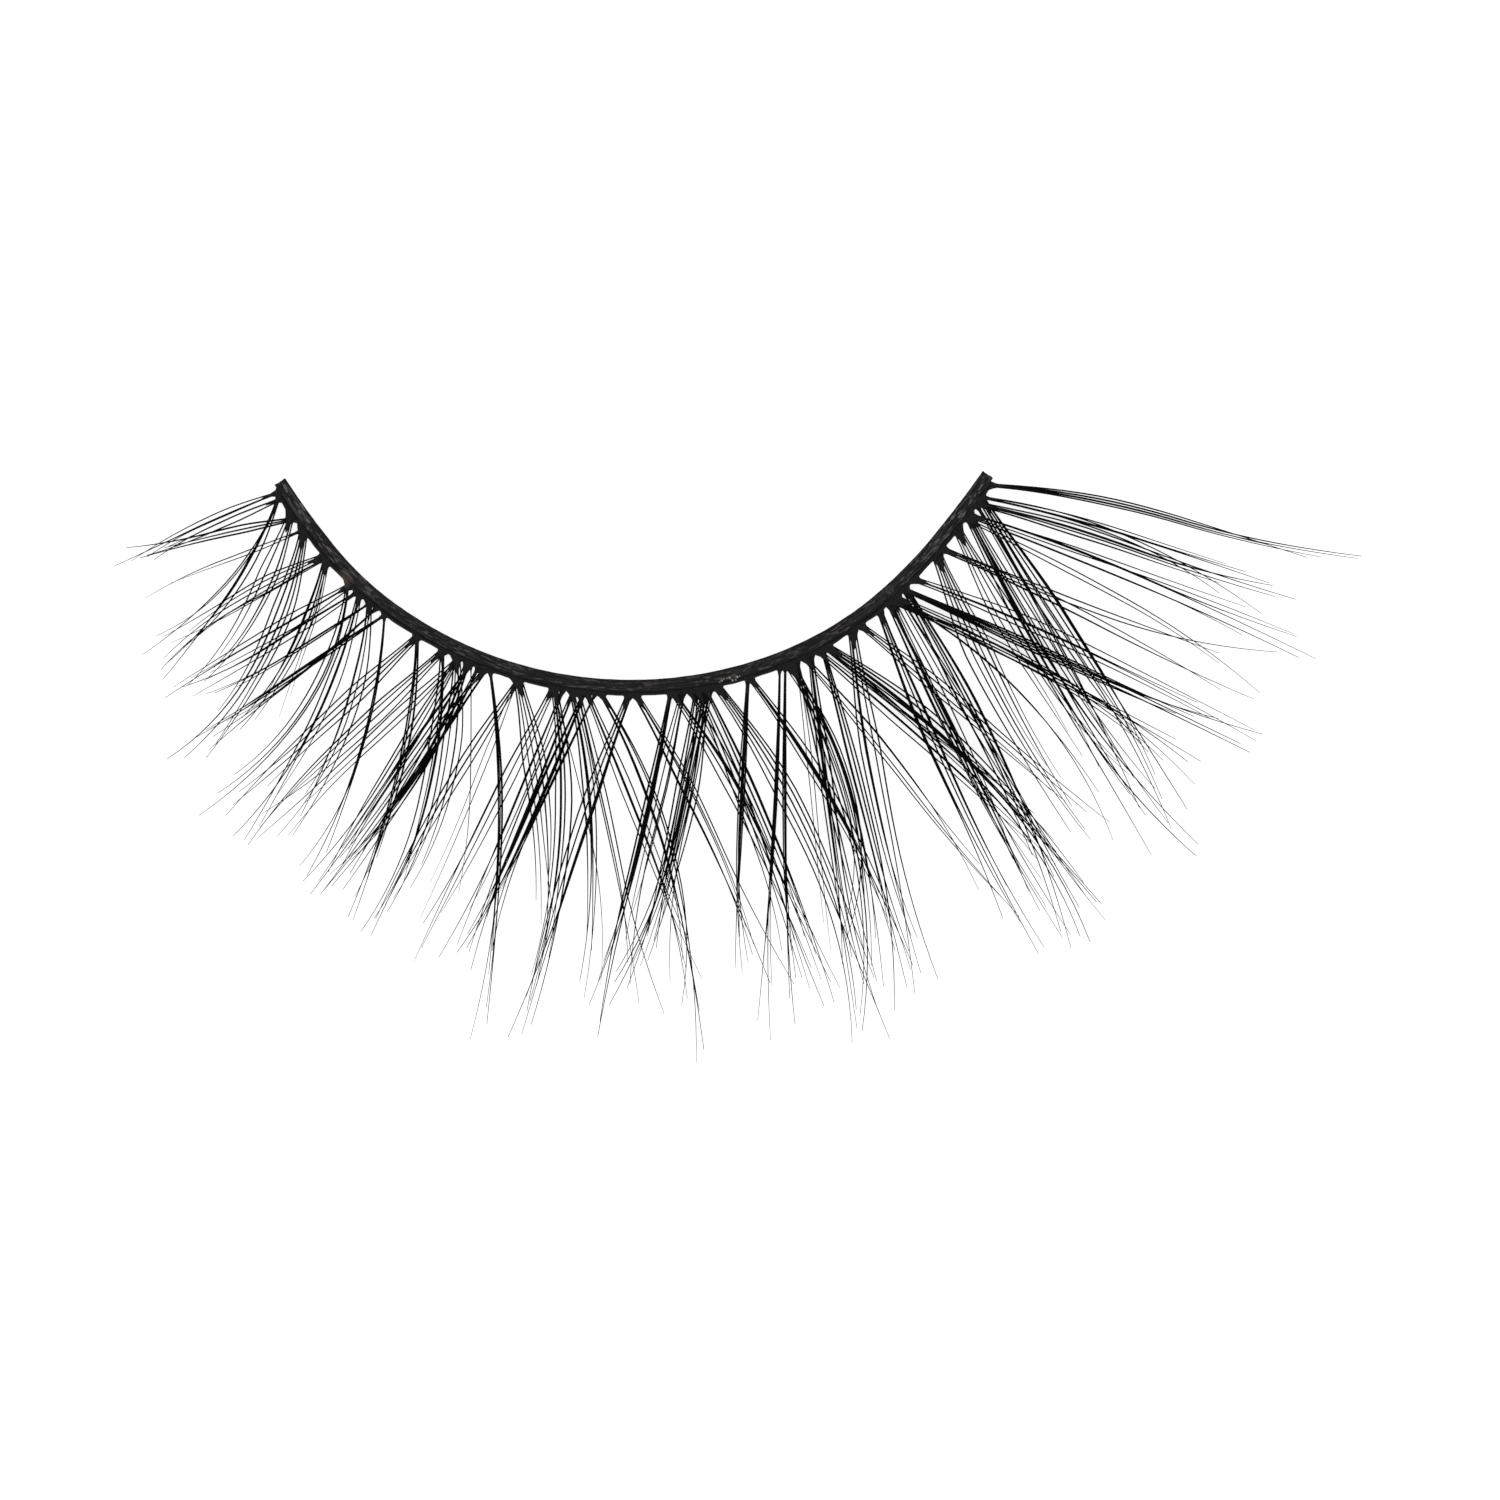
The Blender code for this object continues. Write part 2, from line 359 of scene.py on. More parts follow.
class GlueSettings(bpy.types.PropertyGroup):
    """Sizes and colours of the glue that holds the roots."""

    bead: FloatProperty(
        name="Bead", description="Width of the bead on the band's edge", default=0.0002, unit="LENGTH"
    )
    bead_out: FloatProperty(
        name="Bead out",
        description="Middle of the bead beyond the band's edge",
        default=0.00005,
        unit="LENGTH",
    )
    web: FloatProperty(
        name="Web",
        description="Length of glue drawn out along a tuft's root",
        default=0.00075,
        unit="LENGTH",
    )
    web_flare: FloatProperty(
        name="Web flare",
        description="Widening of a web where it leaves the band",
        default=0.00015,
        unit="LENGTH",
    )
    web_depth: FloatProperty(
        name="Web depth", description="Half the depth of a web", default=0.00006, unit="LENGTH"
    )
    voxel: FloatProperty(
        name="Voxel", description="Grain of the fused glue", default=0.000035, unit="LENGTH"
    )
    color: FloatVectorProperty(
        name="Colour",
        description="Colour of the dried glue",
        default=(0.017, 0.016, 0.017),
        subtype="COLOR",
    )
    scuff: FloatVectorProperty(
        name="Scuff",
        description="Colour of the scuffed glue",
        default=(0.06, 0.057, 0.057),
        subtype="COLOR",
    )
    clear: FloatVectorProperty(
        name="Clear",
        description="Colour of the clear crumbs",
        default=(0.3, 0.29, 0.28),
        subtype="COLOR",
    )
    cloudy: FloatVectorProperty(
        name="Cloudy",
        description="Colour of the crumbs where they are cloudy",
        default=(0.75, 0.73, 0.69),
        subtype="COLOR",
    )


class LashSettings(bpy.types.PropertyGroup):
    """Sizes and colours of the lash hairs."""

    thickness: FloatProperty(
        name="Thickness", description="Hair diameter at the root", default=0.000065, unit="LENGTH"
    )
    tip: FloatProperty(
        name="Tip", description="Tip diameter as a share of the root's", default=0.35, subtype="FACTOR"
    )
    taper_start: FloatProperty(
        name="Taper start",
        description="Share of a hair at which it starts to thin",
        default=0.5,
        subtype="FACTOR",
    )
    root_gap: FloatProperty(
        name="Root gap",
        description="Gap between hairs at the root, against their widest",
        default=0.36,
        subtype="FACTOR",
    )
    tip_gap: FloatProperty(
        name="Tip gap",
        description="Gap between hairs at the tips, against their widest",
        default=0.5,
        subtype="FACTOR",
    )
    opening: FloatProperty(
        name="Opening",
        description="Share of the reach by which a tuft is open",
        default=0.36,
        subtype="FACTOR",
    )
    belly_reach: FloatProperty(
        name="Belly", description="Reach that lies along the table", default=0.003, unit="LENGTH"
    )
    full_reach: FloatProperty(
        name="Full reach", description="Reach of the longest hair", default=0.0144, unit="LENGTH"
    )
    curl_rise: FloatProperty(
        name="Curl", description="Rise of the longest hair", default=0.0046, unit="LENGTH"
    )
    curl_power: FloatProperty(
        name="Curl power", description="How late the curl comes", default=1.9
    )
    color: FloatVectorProperty(
        name="Colour",
        description="Colour of the fibre",
        default=(0.0034, 0.0031, 0.0031),
        subtype="COLOR",
    )
    # Browner colour given to some hairs: a painted sheen.
    painted_sheen: FloatVectorProperty(
        name="Warm",
        description="Colour of the browner hairs",
        default=(0.009, 0.007, 0.0065),
        subtype="COLOR",
    )
    streak: FloatVectorProperty(
        name="Streak",
        description="Colour of the duller streaks",
        default=(0.010, 0.0092, 0.0092),
        subtype="COLOR",
    )
    root: FloatVectorProperty(
        name="Root",
        description="Colour of the glue dried on the roots",
        default=(0.014, 0.013, 0.013),
        subtype="COLOR",
    )
    seed: IntProperty(name="Seed", description="Seed of the hairs' scatter", default=7)


class StageSettings(bpy.types.PropertyGroup):
    """Floor, lights and camera."""

    frame_width: FloatProperty(
        name="Frame width",
        description="Width of the picture on the floor",
        default=0.0579,
        unit="LENGTH",
    )
    offset: FloatVectorProperty(
        name="Offset",
        description="From the band to the picture's middle",
        default=(0.00442, -0.006484, 0.0),
        subtype="TRANSLATION",
    )
    roll: FloatProperty(
        name="Roll", description="Turn of the camera", default=math.radians(-0.35), unit="ROTATION"
    )
    distance: FloatProperty(
        name="Distance", description="Camera height above the floor", default=0.6, unit="LENGTH"
    )
    floor: FloatVectorProperty(
        name="Floor", description="Colour of the floor", default=(0.9, 0.9, 0.9), subtype="COLOR"
    )
    glow: FloatProperty(
        name="Glow", description="Light that the white floor gives off itself", default=0.78
    )
    power: FloatProperty(name="Light", description="Power of each softbox in watts", default=0.5)
    sky: FloatProperty(name="Sky", description="Strength of the white surround", default=0.3)


def interpolate(rows, share, column):
    """Value of a column at a share, on straight lines between the rows."""
    for low, high in zip(rows, rows[1:]):
        if share <= high.share:
            part = (share - low.share) / (high.share - low.share)
            start = getattr(low, column)
            return start + (getattr(high, column) - start) * part
    return getattr(rows[-1], column)


def bearing(degrees):
    """Unit vector in plan at an angle from straight down, toward +X."""
    angle = math.radians(degrees)
    return Vector((math.sin(angle), -math.cos(angle), 0.0))


def uneven(place, kind):
    """Smooth random value at a place, up to the size of that unevenness."""
    shift = Vector((kind.seed, kind.seed * 2.0, kind.seed * 3.0))
    return noise.noise(Vector(place) * kind.scale + shift) * kind.size


class BandLine:
    """Centre line of the band in plan, laid on the CAD band."""

    STEPS = 240

    def __init__(self, settings):
        self.length = settings.length
        self.half_width = settings.width / 2
        self.points = [Vector((0.0, 0.0, 0.0))]
        for index in range(self.STEPS):
            ahead = bearing(self.heading((index + 0.5) / self.STEPS) + 90.0)
            self.points.append(self.points[-1] + ahead * (self.length / self.STEPS))
        shift = (BAND_LOW + BAND_HIGH) / 2 - self.middle()
        shift.z = 0.0
        self.points = [point + shift for point in self.points]
        self.tree = KDTree(len(self.points))
        for index, point in enumerate(self.points):
            self.tree.insert(point, index)
        self.tree.balance()

    def heading(self, share):
        """Heading of the band in degrees at a share of its length."""
        return interpolate(BAND_TURNS, share, "heading")

    def point(self, share, offset=0.0):
        """Plan point at a share of the length, offset toward the fringe."""
        place = min(max(share, 0.0), 1.0) * self.STEPS
        index = min(int(place), self.STEPS - 1)
        on_line = self.points[index].lerp(self.points[index + 1], place - index)
        beyond = (share - min(max(share, 0.0), 1.0)) * self.length
        ahead = bearing(self.heading(share) + 90.0)
        return on_line + ahead * beyond + bearing(self.heading(share)) * offset

    def middle(self):
        """Middle of the box round both edges of the band."""
        shares = [index / self.STEPS for index in range(self.STEPS + 1)]
        edges = [self.point(share, side * self.half_width) for share in shares for side in (-1, 1)]
        low = Vector((min(p.x for p in edges), min(p.y for p in edges), 0.0))
        high = Vector((max(p.x for p in edges), max(p.y for p in edges), 0.0))
        return (low + high) / 2

    def distance(self, point):
        """Plan distance from a point to the centre line."""
        return self.tree.find(Vector((point.x, point.y, 0.0)))[2]


def plug(tree, socket, value):
    """Link another socket to an input socket, or set its value."""
    if isinstance(value, bpy.types.NodeSocket):
        tree.links.new(value, socket)
    else:
        socket.default_value = value


def feed(tree, node, **sockets):
    """Plug a node's inputs, named with underscores for spaces."""
    for name, value in sockets.items():
        plug(tree, node.inputs[name.replace("_", " ")], value)
    return node


def add_node(tree, kind, **sockets):
    """New shader node with its inputs plugged."""
    return feed(tree, tree.nodes.new("ShaderNode" + kind), **sockets)


def add_maths(tree, kind, operation, *values):
    """New maths node with its inputs plugged in their order."""
    node = add_node(tree, kind)
    node.operation = operation
    for socket, value in zip(node.inputs, values):
        plug(tree, socket, value)
    return node


def remap(tree, value, source, target=(0.0, 1.0)):
    """Socket that carries a value from one span to another and stops at its ends."""
    node = add_node(
        tree,
        "MapRange",
        Value=value,
        From_Min=source[0],
        From_Max=source[1],
        To_Min=target[0],
        To_Max=target[1],
    )
    return node.outputs["Result"]


def new_group(name, inputs, outputs):
    """Empty shader node group with named sockets; returns its tree and ends."""
    tree = bpy.data.node_groups.new(name, "ShaderNodeTree")
    for label, kind, value in inputs:
        socket = tree.interface.new_socket(label, in_out="INPUT", socket_type=kind)
        if value is not None:
            socket.default_value = value
    for label, kind in outputs:
        tree.interface.new_socket(label, in_out="OUTPUT", socket_type=kind)
    start = tree.nodes.new("NodeGroupInput")
    end = tree.nodes.new("NodeGroupOutput")
    return tree, start.outputs, end


def streaks_group():
    """Long streaks: a noise stretched along the first axis of its vector."""
    inputs = (
        ("Vector", "NodeSocketVector", None),
        ("Along", "NodeSocketFloat", 1.0),
        ("Across", "NodeSocketFloat", 1.0),
        ("Low", "NodeSocketFloat", 0.4),
        ("High", "NodeSocketFloat", 0.6),
    )
    outputs = (("Mask", "NodeSocketFloat"), ("Height", "NodeSocketFloat"))
    tree, given, end = new_group("Fibre Streaks", inputs, outputs)
    across = given["Across"]
    stretch = add_node(tree, "CombineXYZ", X=given["Along"], Y=across, Z=across)
    scaled = add_maths(tree, "VectorMath", "MULTIPLY", given["Vector"], stretch.outputs["Vector"])
    grain = add_node(tree, "TexNoise", Vector=scaled.outputs["Vector"], Scale=1.0, Detail=3.0)
    height = grain.outputs["Fac"]
    feed(tree, end, Mask=remap(tree, height, (given["Low"], given["High"])), Height=height)
    return tree


def flecks_group():
    """Scattered flecks: the peaks of a fine noise."""
    inputs = (
        ("Vector", "NodeSocketVector", None),
        ("Scale", "NodeSocketFloat", 1.0),
        ("Threshold", "NodeSocketFloat", 0.65),
    )
    tree, given, end = new_group("Flecks", inputs, (("Mask", "NodeSocketFloat"),))
    grain = add_node(
        tree,
        "TexNoise",
        Vector=given["Vector"],
        Scale=given["Scale"],
        Detail=4.0,
        Roughness=0.65,
    )
    full = add_maths(tree, "Math", "ADD", given["Threshold"], FLECK_SOFTNESS)
    span = (given["Threshold"], full.outputs["Value"])
    feed(tree, end, Mask=remap(tree, grain.outputs["Fac"], span))
    return tree


def stain_group():
    """One soft, uneven stain round a centre in object coordinates."""
    inputs = (
        ("Vector", "NodeSocketVector", None),
        ("Centre", "NodeSocketVector", None),
        ("Radius", "NodeSocketFloat", 0.0004),
    )
    tree, given, end = new_group("Stain", inputs, (("Mask", "NodeSocketFloat"),))
    away = add_maths(tree, "VectorMath", "DISTANCE", given["Vector"], given["Centre"])
    fade = remap(tree, away.outputs["Value"], (given["Radius"], 0.0))
    grain = add_node(tree, "TexNoise", Vector=given["Vector"], Scale=9000.0, Detail=3.0)
    broken = add_maths(tree, "Math", "MULTIPLY", fade, grain.outputs["Fac"])
    feed(tree, end, Mask=broken.outputs["Value"])
    return tree


def add_group(tree, name, build, **sockets):
    """Group node with its inputs plugged; its tree is built on first use."""
    node = add_node(tree, "Group")
    node.node_tree = bpy.data.node_groups.get(name) or build()
    return feed(tree, node, **sockets)


def mix_color(tree, mask, under, over):
    """Colour socket that goes from under to over as the mask goes from 0 to 1."""
    mix = add_node(tree, "Mix")
    mix.data_type = "RGBA"
    for index, value in zip(MIX_INPUTS, (mask, under, over)):
        plug(tree, mix.inputs[index], value)
    return mix.outputs[MIX_OUTPUT]


def new_material(name):
    """Material with a Principled shader; returns it, its tree and the shader."""
    material = bpy.data.materials.new(name)
    material.use_nodes = True
    tree = material.node_tree
    return material, tree, tree.nodes["Principled BSDF"]


def attribute(tree, name):
    """Vector socket of a mesh attribute."""
    node = add_node(tree, "Attribute")
    node.attribute_name = name
    return node.outputs["Vector"]


def object_place(tree):
    """Vector socket of the object coordinates."""
    return add_node(tree, "TexCoord").outputs["Object"]


def bump(tree, shader, height, distance):
    """Raise the shader's surface by a height socket, up to a distance."""
    node = add_node(tree, "Bump", Height=height, Strength=1.0, Distance=distance)
    tree.links.new(node.outputs["Normal"], shader.inputs["Normal"])


def opaque(color):
    """Colour of three channels with full opacity."""
    return (*color, 1.0)


def stained(tree, color, centre):
    """Colour socket with the brown stain laid over a colour."""
    stain = add_group(
        tree, "Stain", stain_group, Vector=object_place(tree), Centre=centre, Radius=STAIN_RADIUS
    )
    return mix_color(tree, stain.outputs["Mask"], color, opaque(STAIN_COLOR))


def add_streaks(tree, vector, along, across, low, high):
    """Fibre streaks along a vector; returns their mask and height sockets."""
    streaks = add_group(
        tree,
        "Fibre Streaks",
        streaks_group,
        Vector=vector,
        Along=along,
        Across=across,
        Low=low,
        High=high,
    )
    return streaks.outputs["Mask"], streaks.outputs["Height"]


def band_wear(tree, along, length):
    """Socket of the band's wear, stronger toward both ends."""
    from_middle = add_maths(tree, "Math", "SUBTRACT", along, length / 2)
    distance = add_maths(tree, "Math", "ABSOLUTE", from_middle.outputs["Value"])
    span = [length * share for share in WEAR_SHARES]
    return remap(tree, distance.outputs["Value"], span, (LEAST_WEAR, 1.0))


def cotton_material(settings, stain_centre):
    """Black cotton with paler fibres along it, dark glued edges and a brown stain."""
    material, tree, shader = new_material("band_cotton")
    cloth = attribute(tree, "straight")
    split = add_node(tree, "SeparateXYZ", Vector=cloth)
    fibres, height = add_streaks(tree, cloth, along=1500.0, across=16000.0, low=0.5, high=0.62)
    lint, _ = add_streaks(tree, cloth, along=3000.0, across=14000.0, low=0.57, high=0.63)
    wear = band_wear(tree, split.outputs["X"], settings.length)
    fibre_part = remap(tree, fibres, (0.0, 1.0), (0.0, wear))
    lint_part = remap(tree, lint, (0.0, 1.0), (0.0, wear))
    off_centre = add_maths(tree, "Math", "ABSOLUTE", split.outputs["Y"])
    half_width = settings.width / 2
    edge = remap(tree, off_centre.outputs["Value"], (half_width * GLUED_EDGE, half_width))
    dark = opaque([channel * GLUED_SHADE for channel in settings.cotton])
    color = mix_color(tree, fibre_part, opaque(settings.cotton), opaque(settings.fibre))
    color = mix_color(tree, lint_part, color, opaque(settings.lint))
    color = mix_color(tree, edge, color, dark)
    color = stained(tree, color, stain_centre)
    roughness = remap(tree, height, NOISE_SPAN, (0.72, 0.95))
    feed(tree, shader, Base_Color=color, Roughness=roughness, Specular_IOR_Level=0.25)
    bump(tree, shader, height, distance=0.00002)
    return material


def glue_material(settings, stain_centre):
    """Dried black glue: uneven gloss, scuffs and a brown stain."""
    material, tree, shader = new_material("root_glue")
    place = object_place(tree)
    scuffs = add_group(tree, "Flecks", flecks_group, Vector=place, Scale=9000.0, Threshold=0.58)
    scuff_part = remap(tree, scuffs.outputs["Mask"], (0.0, 1.0), (0.0, 0.5))
    color = mix_color(tree, scuff_part, opaque(settings.color), opaque(settings.scuff))
    color = stained(tree, color, stain_centre)
    ripple = add_node(tree, "TexNoise", Vector=place, Scale=14000.0, Detail=3.0)
    roughness = remap(tree, ripple.outputs["Fac"], NOISE_SPAN, (0.45, 0.8))
    feed(tree, shader, Base_Color=color, Roughness=roughness, Specular_IOR_Level=0.25)
    bump(tree, shader, ripple.outputs["Fac"], distance=0.000012)
    return material


def lash_material(settings):
    """Black fibre, browner on some hairs as a painted sheen, with glue dried on its root."""
    material, tree, shader = new_material("lash_fibre")
    fibre = attribute(tree, "fibre")
    split = add_node(tree, "SeparateXYZ", Vector=fibre)
    streak, height = add_streaks(tree, fibre, along=9.0, across=37.0, low=0.45, high=0.8)
    # Browner colour on the hairs picked by seed: a painted sheen.
    painted_sheen = remap(tree, split.outputs["Y"], SHEEN_SEEDS)
    root = remap(tree, split.outputs["X"], GLUED_SHARES, (1.0, 0.0))
    color = mix_color(tree, painted_sheen, opaque(settings.color), opaque(settings.painted_sheen))
    color = mix_color(tree, streak, color, opaque(settings.streak))
    color = mix_color(tree, root, color, opaque(settings.root))
    roughness = remap(tree, height, NOISE_SPAN, (0.38, 0.55))
    feed(tree, shader, Base_Color=color, Roughness=roughness, Specular_IOR_Level=0.06)
    bump(tree, shader, height, distance=0.000004)
    return material


def clear_glue_material(settings):
    """Crumbs of pale glue that dried clear, cloudier in places."""
    material, tree, shader = new_material("clear_glue")
    place = object_place(tree)
    cloud = add_group(tree, "Flecks", flecks_group, Vector=place, Scale=16000.0, Threshold=0.48)
    mask = cloud.outputs["Mask"]
    color = mix_color(tree, mask, opaque(settings.clear), opaque(settings.cloudy))
    roughness = remap(tree, mask, (0.0, 1.0), (0.2, 0.5))
    feed(tree, shader, Base_Color=color, Roughness=roughness)
    bump(tree, shader, mask, distance=0.00001)
    return material


def floor_material(color, glow):
    """Matt white sheet lit from below, with the faintest mottle."""
    material, tree, shader = new_material("pale_floor")
    mottle = add_node(tree, "TexNoise", Vector=object_place(tree), Scale=60.0, Detail=2.0)
    lighter = opaque([min(channel * MOTTLE, 1.0) for channel in color])
    feed(tree, shader, Base_Color=mix_color(tree, mottle.outputs["Fac"], opaque(color), lighter))
    feed(tree, shader, Roughness=0.95, Specular_IOR_Level=0.1)
    feed(tree, shader, Emission_Color=(1.0, 1.0, 1.0, 1.0), Emission_Strength=glow)
    return material


def new_piece(name, mesh_data, material):
    """Finished bmesh as an object at the origin with one material."""
    mesh = bpy.data.meshes.new(name)
    mesh_data.to_mesh(mesh)
    mesh_data.free()
    mesh.shade_smooth()
    mesh.materials.append(material)
    piece = bpy.data.objects.new(name, mesh)
    bpy.context.scene.collection.objects.link(piece)
    return piece


def unit_tube(sides, steps):
    """Closed tube of radius 1 along Z, from 0 to 1, as a mesh to copy."""
    tube = bmesh.new()
    bmesh.ops.create_cone(
        tube,
        cap_ends=True,
        segments=sides,
        radius1=1.0,
        radius2=1.0,
        depth=1.0,
        matrix=Matrix.Translation((0.0, 0.0, 0.5)),
    )
    lengths = [edge for edge in tube.edges if abs(edge.verts[0].co.z - edge.verts[1].co.z) > 0.5]
    bmesh.ops.subdivide_edges(tube, edges=lengths, cuts=steps - 1)
    mesh = bpy.data.meshes.new("unit_tube")
    tube.to_mesh(mesh)
    tube.free()
    return mesh


def add_copy(pile, template):
    """Copy a mesh into a bmesh and return the new vertices."""
    before = len(pile.verts)
    pile.from_mesh(template)
    pile.verts.ensure_lookup_table()
    return pile.verts[before:]


def bend_tube(vertices, places, radii, depths=None):
    """Lay a unit tube along places, one ring at each, with its own half sizes."""
    last = len(places) - 1
    frames = []
    for index, place in enumerate(places):
        ahead = (places[min(index + 1, last)] - places[max(index - 1, 0)]).normalized()
        side = Vector((-ahead.y, ahead.x, 0.0)).normalized()
        frames.append((place, side, ahead.cross(side)))
    for vertex in vertices:
        index = round(vertex.co.z * last)
        place, side, lift = frames[index]
        x = vertex.co.x * radii[index]
        y = vertex.co.y * (depths or radii)[index]
        vertex.co = place + side * x + lift * y


def lengthwise(bar, width):
    """Edges of the bar that run along it."""
    return [edge for edge in bar.edges if abs(edge.verts[0].co.x - edge.verts[1].co.x) > width]


def straight_band(settings):
    """Straight bar with rounded long edges, divided along and across."""
    bar = bmesh.new()
    height = BAND_HIGH.z - BAND_LOW.z
    bmesh.ops.create_cube(bar, size=1.0)
    bmesh.ops.translate(bar, verts=bar.verts, vec=(0.5, 0.0, 0.5))
    bmesh.ops.scale(bar, verts=bar.verts, vec=(settings.length, settings.width, height))
    bmesh.ops.bevel(
        bar,
        geom=lengthwise(bar, settings.width),
        offset=settings.edge_radius,
        segments=3,
        profile=0.5,
        affect="EDGES",
        material=-1,
    )
    flat_half = settings.width / 2 - settings.edge_radius
    cuts = settings.threads * CUTS_PER_THREAD
    for index in range(1, cuts):
        across = -flat_half + 2 * flat_half * index / cuts
        bmesh.ops.bisect_plane(
            bar,
            geom=bar.verts[:] + bar.edges[:] + bar.faces[:],
            plane_co=(0.0, across, 0.0),
            plane_no=(0.0, 1.0, 0.0),
        )
    edges = lengthwise(bar, settings.width)
    bmesh.ops.subdivide_edges(bar, edges=edges, cuts=BAND_STEPS - 1)
    return bar


def make_band(settings, line):
    """The cotton band: threads side by side, bent in plan."""
    bar = straight_band(settings)
    straight = bar.verts.layers.float_vector.new("straight")
    top = BAND_HIGH.z
    for vertex in bar.verts:
        along, across, up = vertex.co
        vertex[straight] = vertex.co
        turns = settings.threads * (across / settings.width + 0.5)
        thread = math.cos(2 * math.pi * (turns + uneven((along, 0.0, 0.0), THREAD_WANDER)))
        groove = settings.thread_depth * (0.5 - 0.5 * thread)
        lump = uneven((along, across, up), THREAD_LUMPS) * settings.thread_depth
        new_up = up
        if up > top * (1 - FACE_SHARE):
            new_up += min(lump, 0.0) - groove
        elif up < top * FACE_SHARE:
            new_up += groove
        swell = uneven((along, 0.0, math.copysign(EDGE_SHIFT, across)), EDGE_SWELL)
        new_across = across + math.copysign(swell, across) * abs(across) / line.half_width
        if along < END_MARGIN or along > settings.length - END_MARGIN:
            along += uneven((across, up, along * END_STRETCH), END_FRAY)
        vertex.co = line.point(along / settings.length, new_across)
        vertex.co.z = new_up
    return bar


class Hair:
    """Plan path and taper of one hair of a tuft."""

    def __init__(self, tuft, line, lash, offset, rank, chance):
        self.tuft = tuft
        self.lash = lash
        self.reach = tuft.reach * MILLIMETRE
        self.root = line.point(tuft.share, line.half_width)
        self.offset = offset
        slant = math.radians(tuft.lean - line.heading(tuft.share))
        self.start = offset * lash.root_gap * math.tan(slant) - HIDDEN_ROOT / math.cos(slant)
        shorter = SHORTENING * (rank / tuft.hairs) ** SHORTENING_POWER
        self.length = self.reach * (LONGEST_HAIR - shorter - chance.uniform(0.0, LENGTH_SCATTER))
        self.bulge = chance.uniform(-BULGE, BULGE) * tuft.spread
        self.fan = chance.uniform(-FAN, FAN) * tuft.reach / USUAL_REACH
        self.fan += tuft.flick * MILLIMETRE
        self.seed = chance.random()
        self.float = chance.uniform(-1.0, 1.0)
        self.thickness = lash.thickness * tuft.weight * chance.uniform(*THICKNESS_SCATTER)

    def plan(self, away):
        """Plan point at a distance along the tuft's own arc."""
        part = max(away, 0.0) / self.reach
        half_turn = self.tuft.turn * part / 2
        angle = math.radians(half_turn)
        chord = away
        if abs(angle) > STRAIGHT_ANGLE:
            chord *= math.sin(angle) / angle
        on_arc = self.root + bearing(self.tuft.lean + half_turn) * chord
        side = bearing(self.tuft.lean + 2 * half_turn + 90.0)
        sideways = self.offset * gap_share(self.lash, part)
        sideways += self.bulge * math.sin(math.pi * min(part, 1.0))
        sideways += self.fan * max((part - FAN_START) / (1.0 - FAN_START), 0.0) ** 2
        return on_arc + side * sideways

    def radius(self, share):
        """Radius at a share of the hair, full near the root and fine at the tip."""
        beyond = max(share - self.lash.taper_start, 0.0) / (1.0 - self.lash.taper_start)
        return self.thickness / 2 * (1.0 - (1.0 - self.lash.tip) * beyond ** TAPER_POWER)


def gap_share(lash, part):
    """Gap between a tuft's hairs against its widest: narrow, open, then closing."""
    opened = min(max(part, 0.0) / lash.opening, 1.0)
    smooth = opened * opened * (3.0 - 2.0 * opened)
    closed = max(part - lash.opening, 0.0) / (1.0 - lash.opening)
    return lash.root_gap + (1.0 - lash.root_gap) * smooth - (1.0 - lash.tip_gap) * closed


def curl_height(lash, distance):
    """Rise of a hair above its root, at a plan distance from the band."""
    beyond = max(distance - lash.belly_reach, 0.0) / (lash.full_reach - lash.belly_reach)
    return lash.curl_rise * beyond ** lash.curl_power


def tuft_chance(lash, number):
    """Source of one tuft's scatter, the same wherever the tuft is worked out."""
    return random.Random(lash.seed * 1000 + number)


def root_offsets(tuft, chance):
    """Places of a tuft's hairs side by side, some of them stuck together."""
    gaps = [chance.choice(HAIR_GAPS) for _ in range(tuft.hairs - 1)]
    places = [0.0]
    for gap in gaps:
        places.append(places[-1] + gap * tuft.spread)
    middle = places[-1] / 2
    return [place - middle for place in places]


def add_hair(pile, template, line, lash, level, hair):
    """One tapered hair, laid on the curled surface of its layer."""
    places = []
    radii = []
    for index in range(HAIR_STEPS + 1):
        share = index / HAIR_STEPS
        point = hair.plan(hair.start + (hair.length - hair.start) * share)
        lift = hair.float * (ROOT_FLOAT + TIP_FLOAT * max(share - FLOAT_START, 0.0))
        radius = hair.radius(share)
        rise = curl_height(lash, line.distance(point))
        point.z = max(level + rise + lift, radius + TABLE_GAP)
        places.append(point)
        radii.append(radius)
    vertices = add_copy(pile, template)
    fibre = pile.verts.layers.float_vector.get("fibre")
    for vertex in vertices:
        vertex[fibre] = (vertex.co.z, hair.seed, hair.seed * SEED_SPREAD)
    bend_tube(vertices, places, radii)


def is_outward(tuft, line):
    """Whether a tuft leans toward the outer corner."""
    return tuft.lean > line.heading(tuft.share)


def make_layer(line, lash, level, outward):
    """All hairs of the tufts that lean one way from the band."""
    template = unit_tube(HAIR_SIDES, HAIR_STEPS)
    pile = bmesh.new()
    pile.verts.layers.float_vector.new("fibre")
    for number, tuft in enumerate(TUFTS):
        if is_outward(tuft, line) != outward:
            continue
        chance = tuft_chance(lash, number)
        offsets = root_offsets(tuft, chance)
        ranks = chance.sample(range(tuft.hairs), tuft.hairs)
        for offset, rank in zip(offsets, ranks):
            hair = Hair(tuft, line, lash, offset, rank, chance)
            add_hair(pile, template, line, lash, level, hair)
    bpy.data.meshes.remove(template)
    return pile


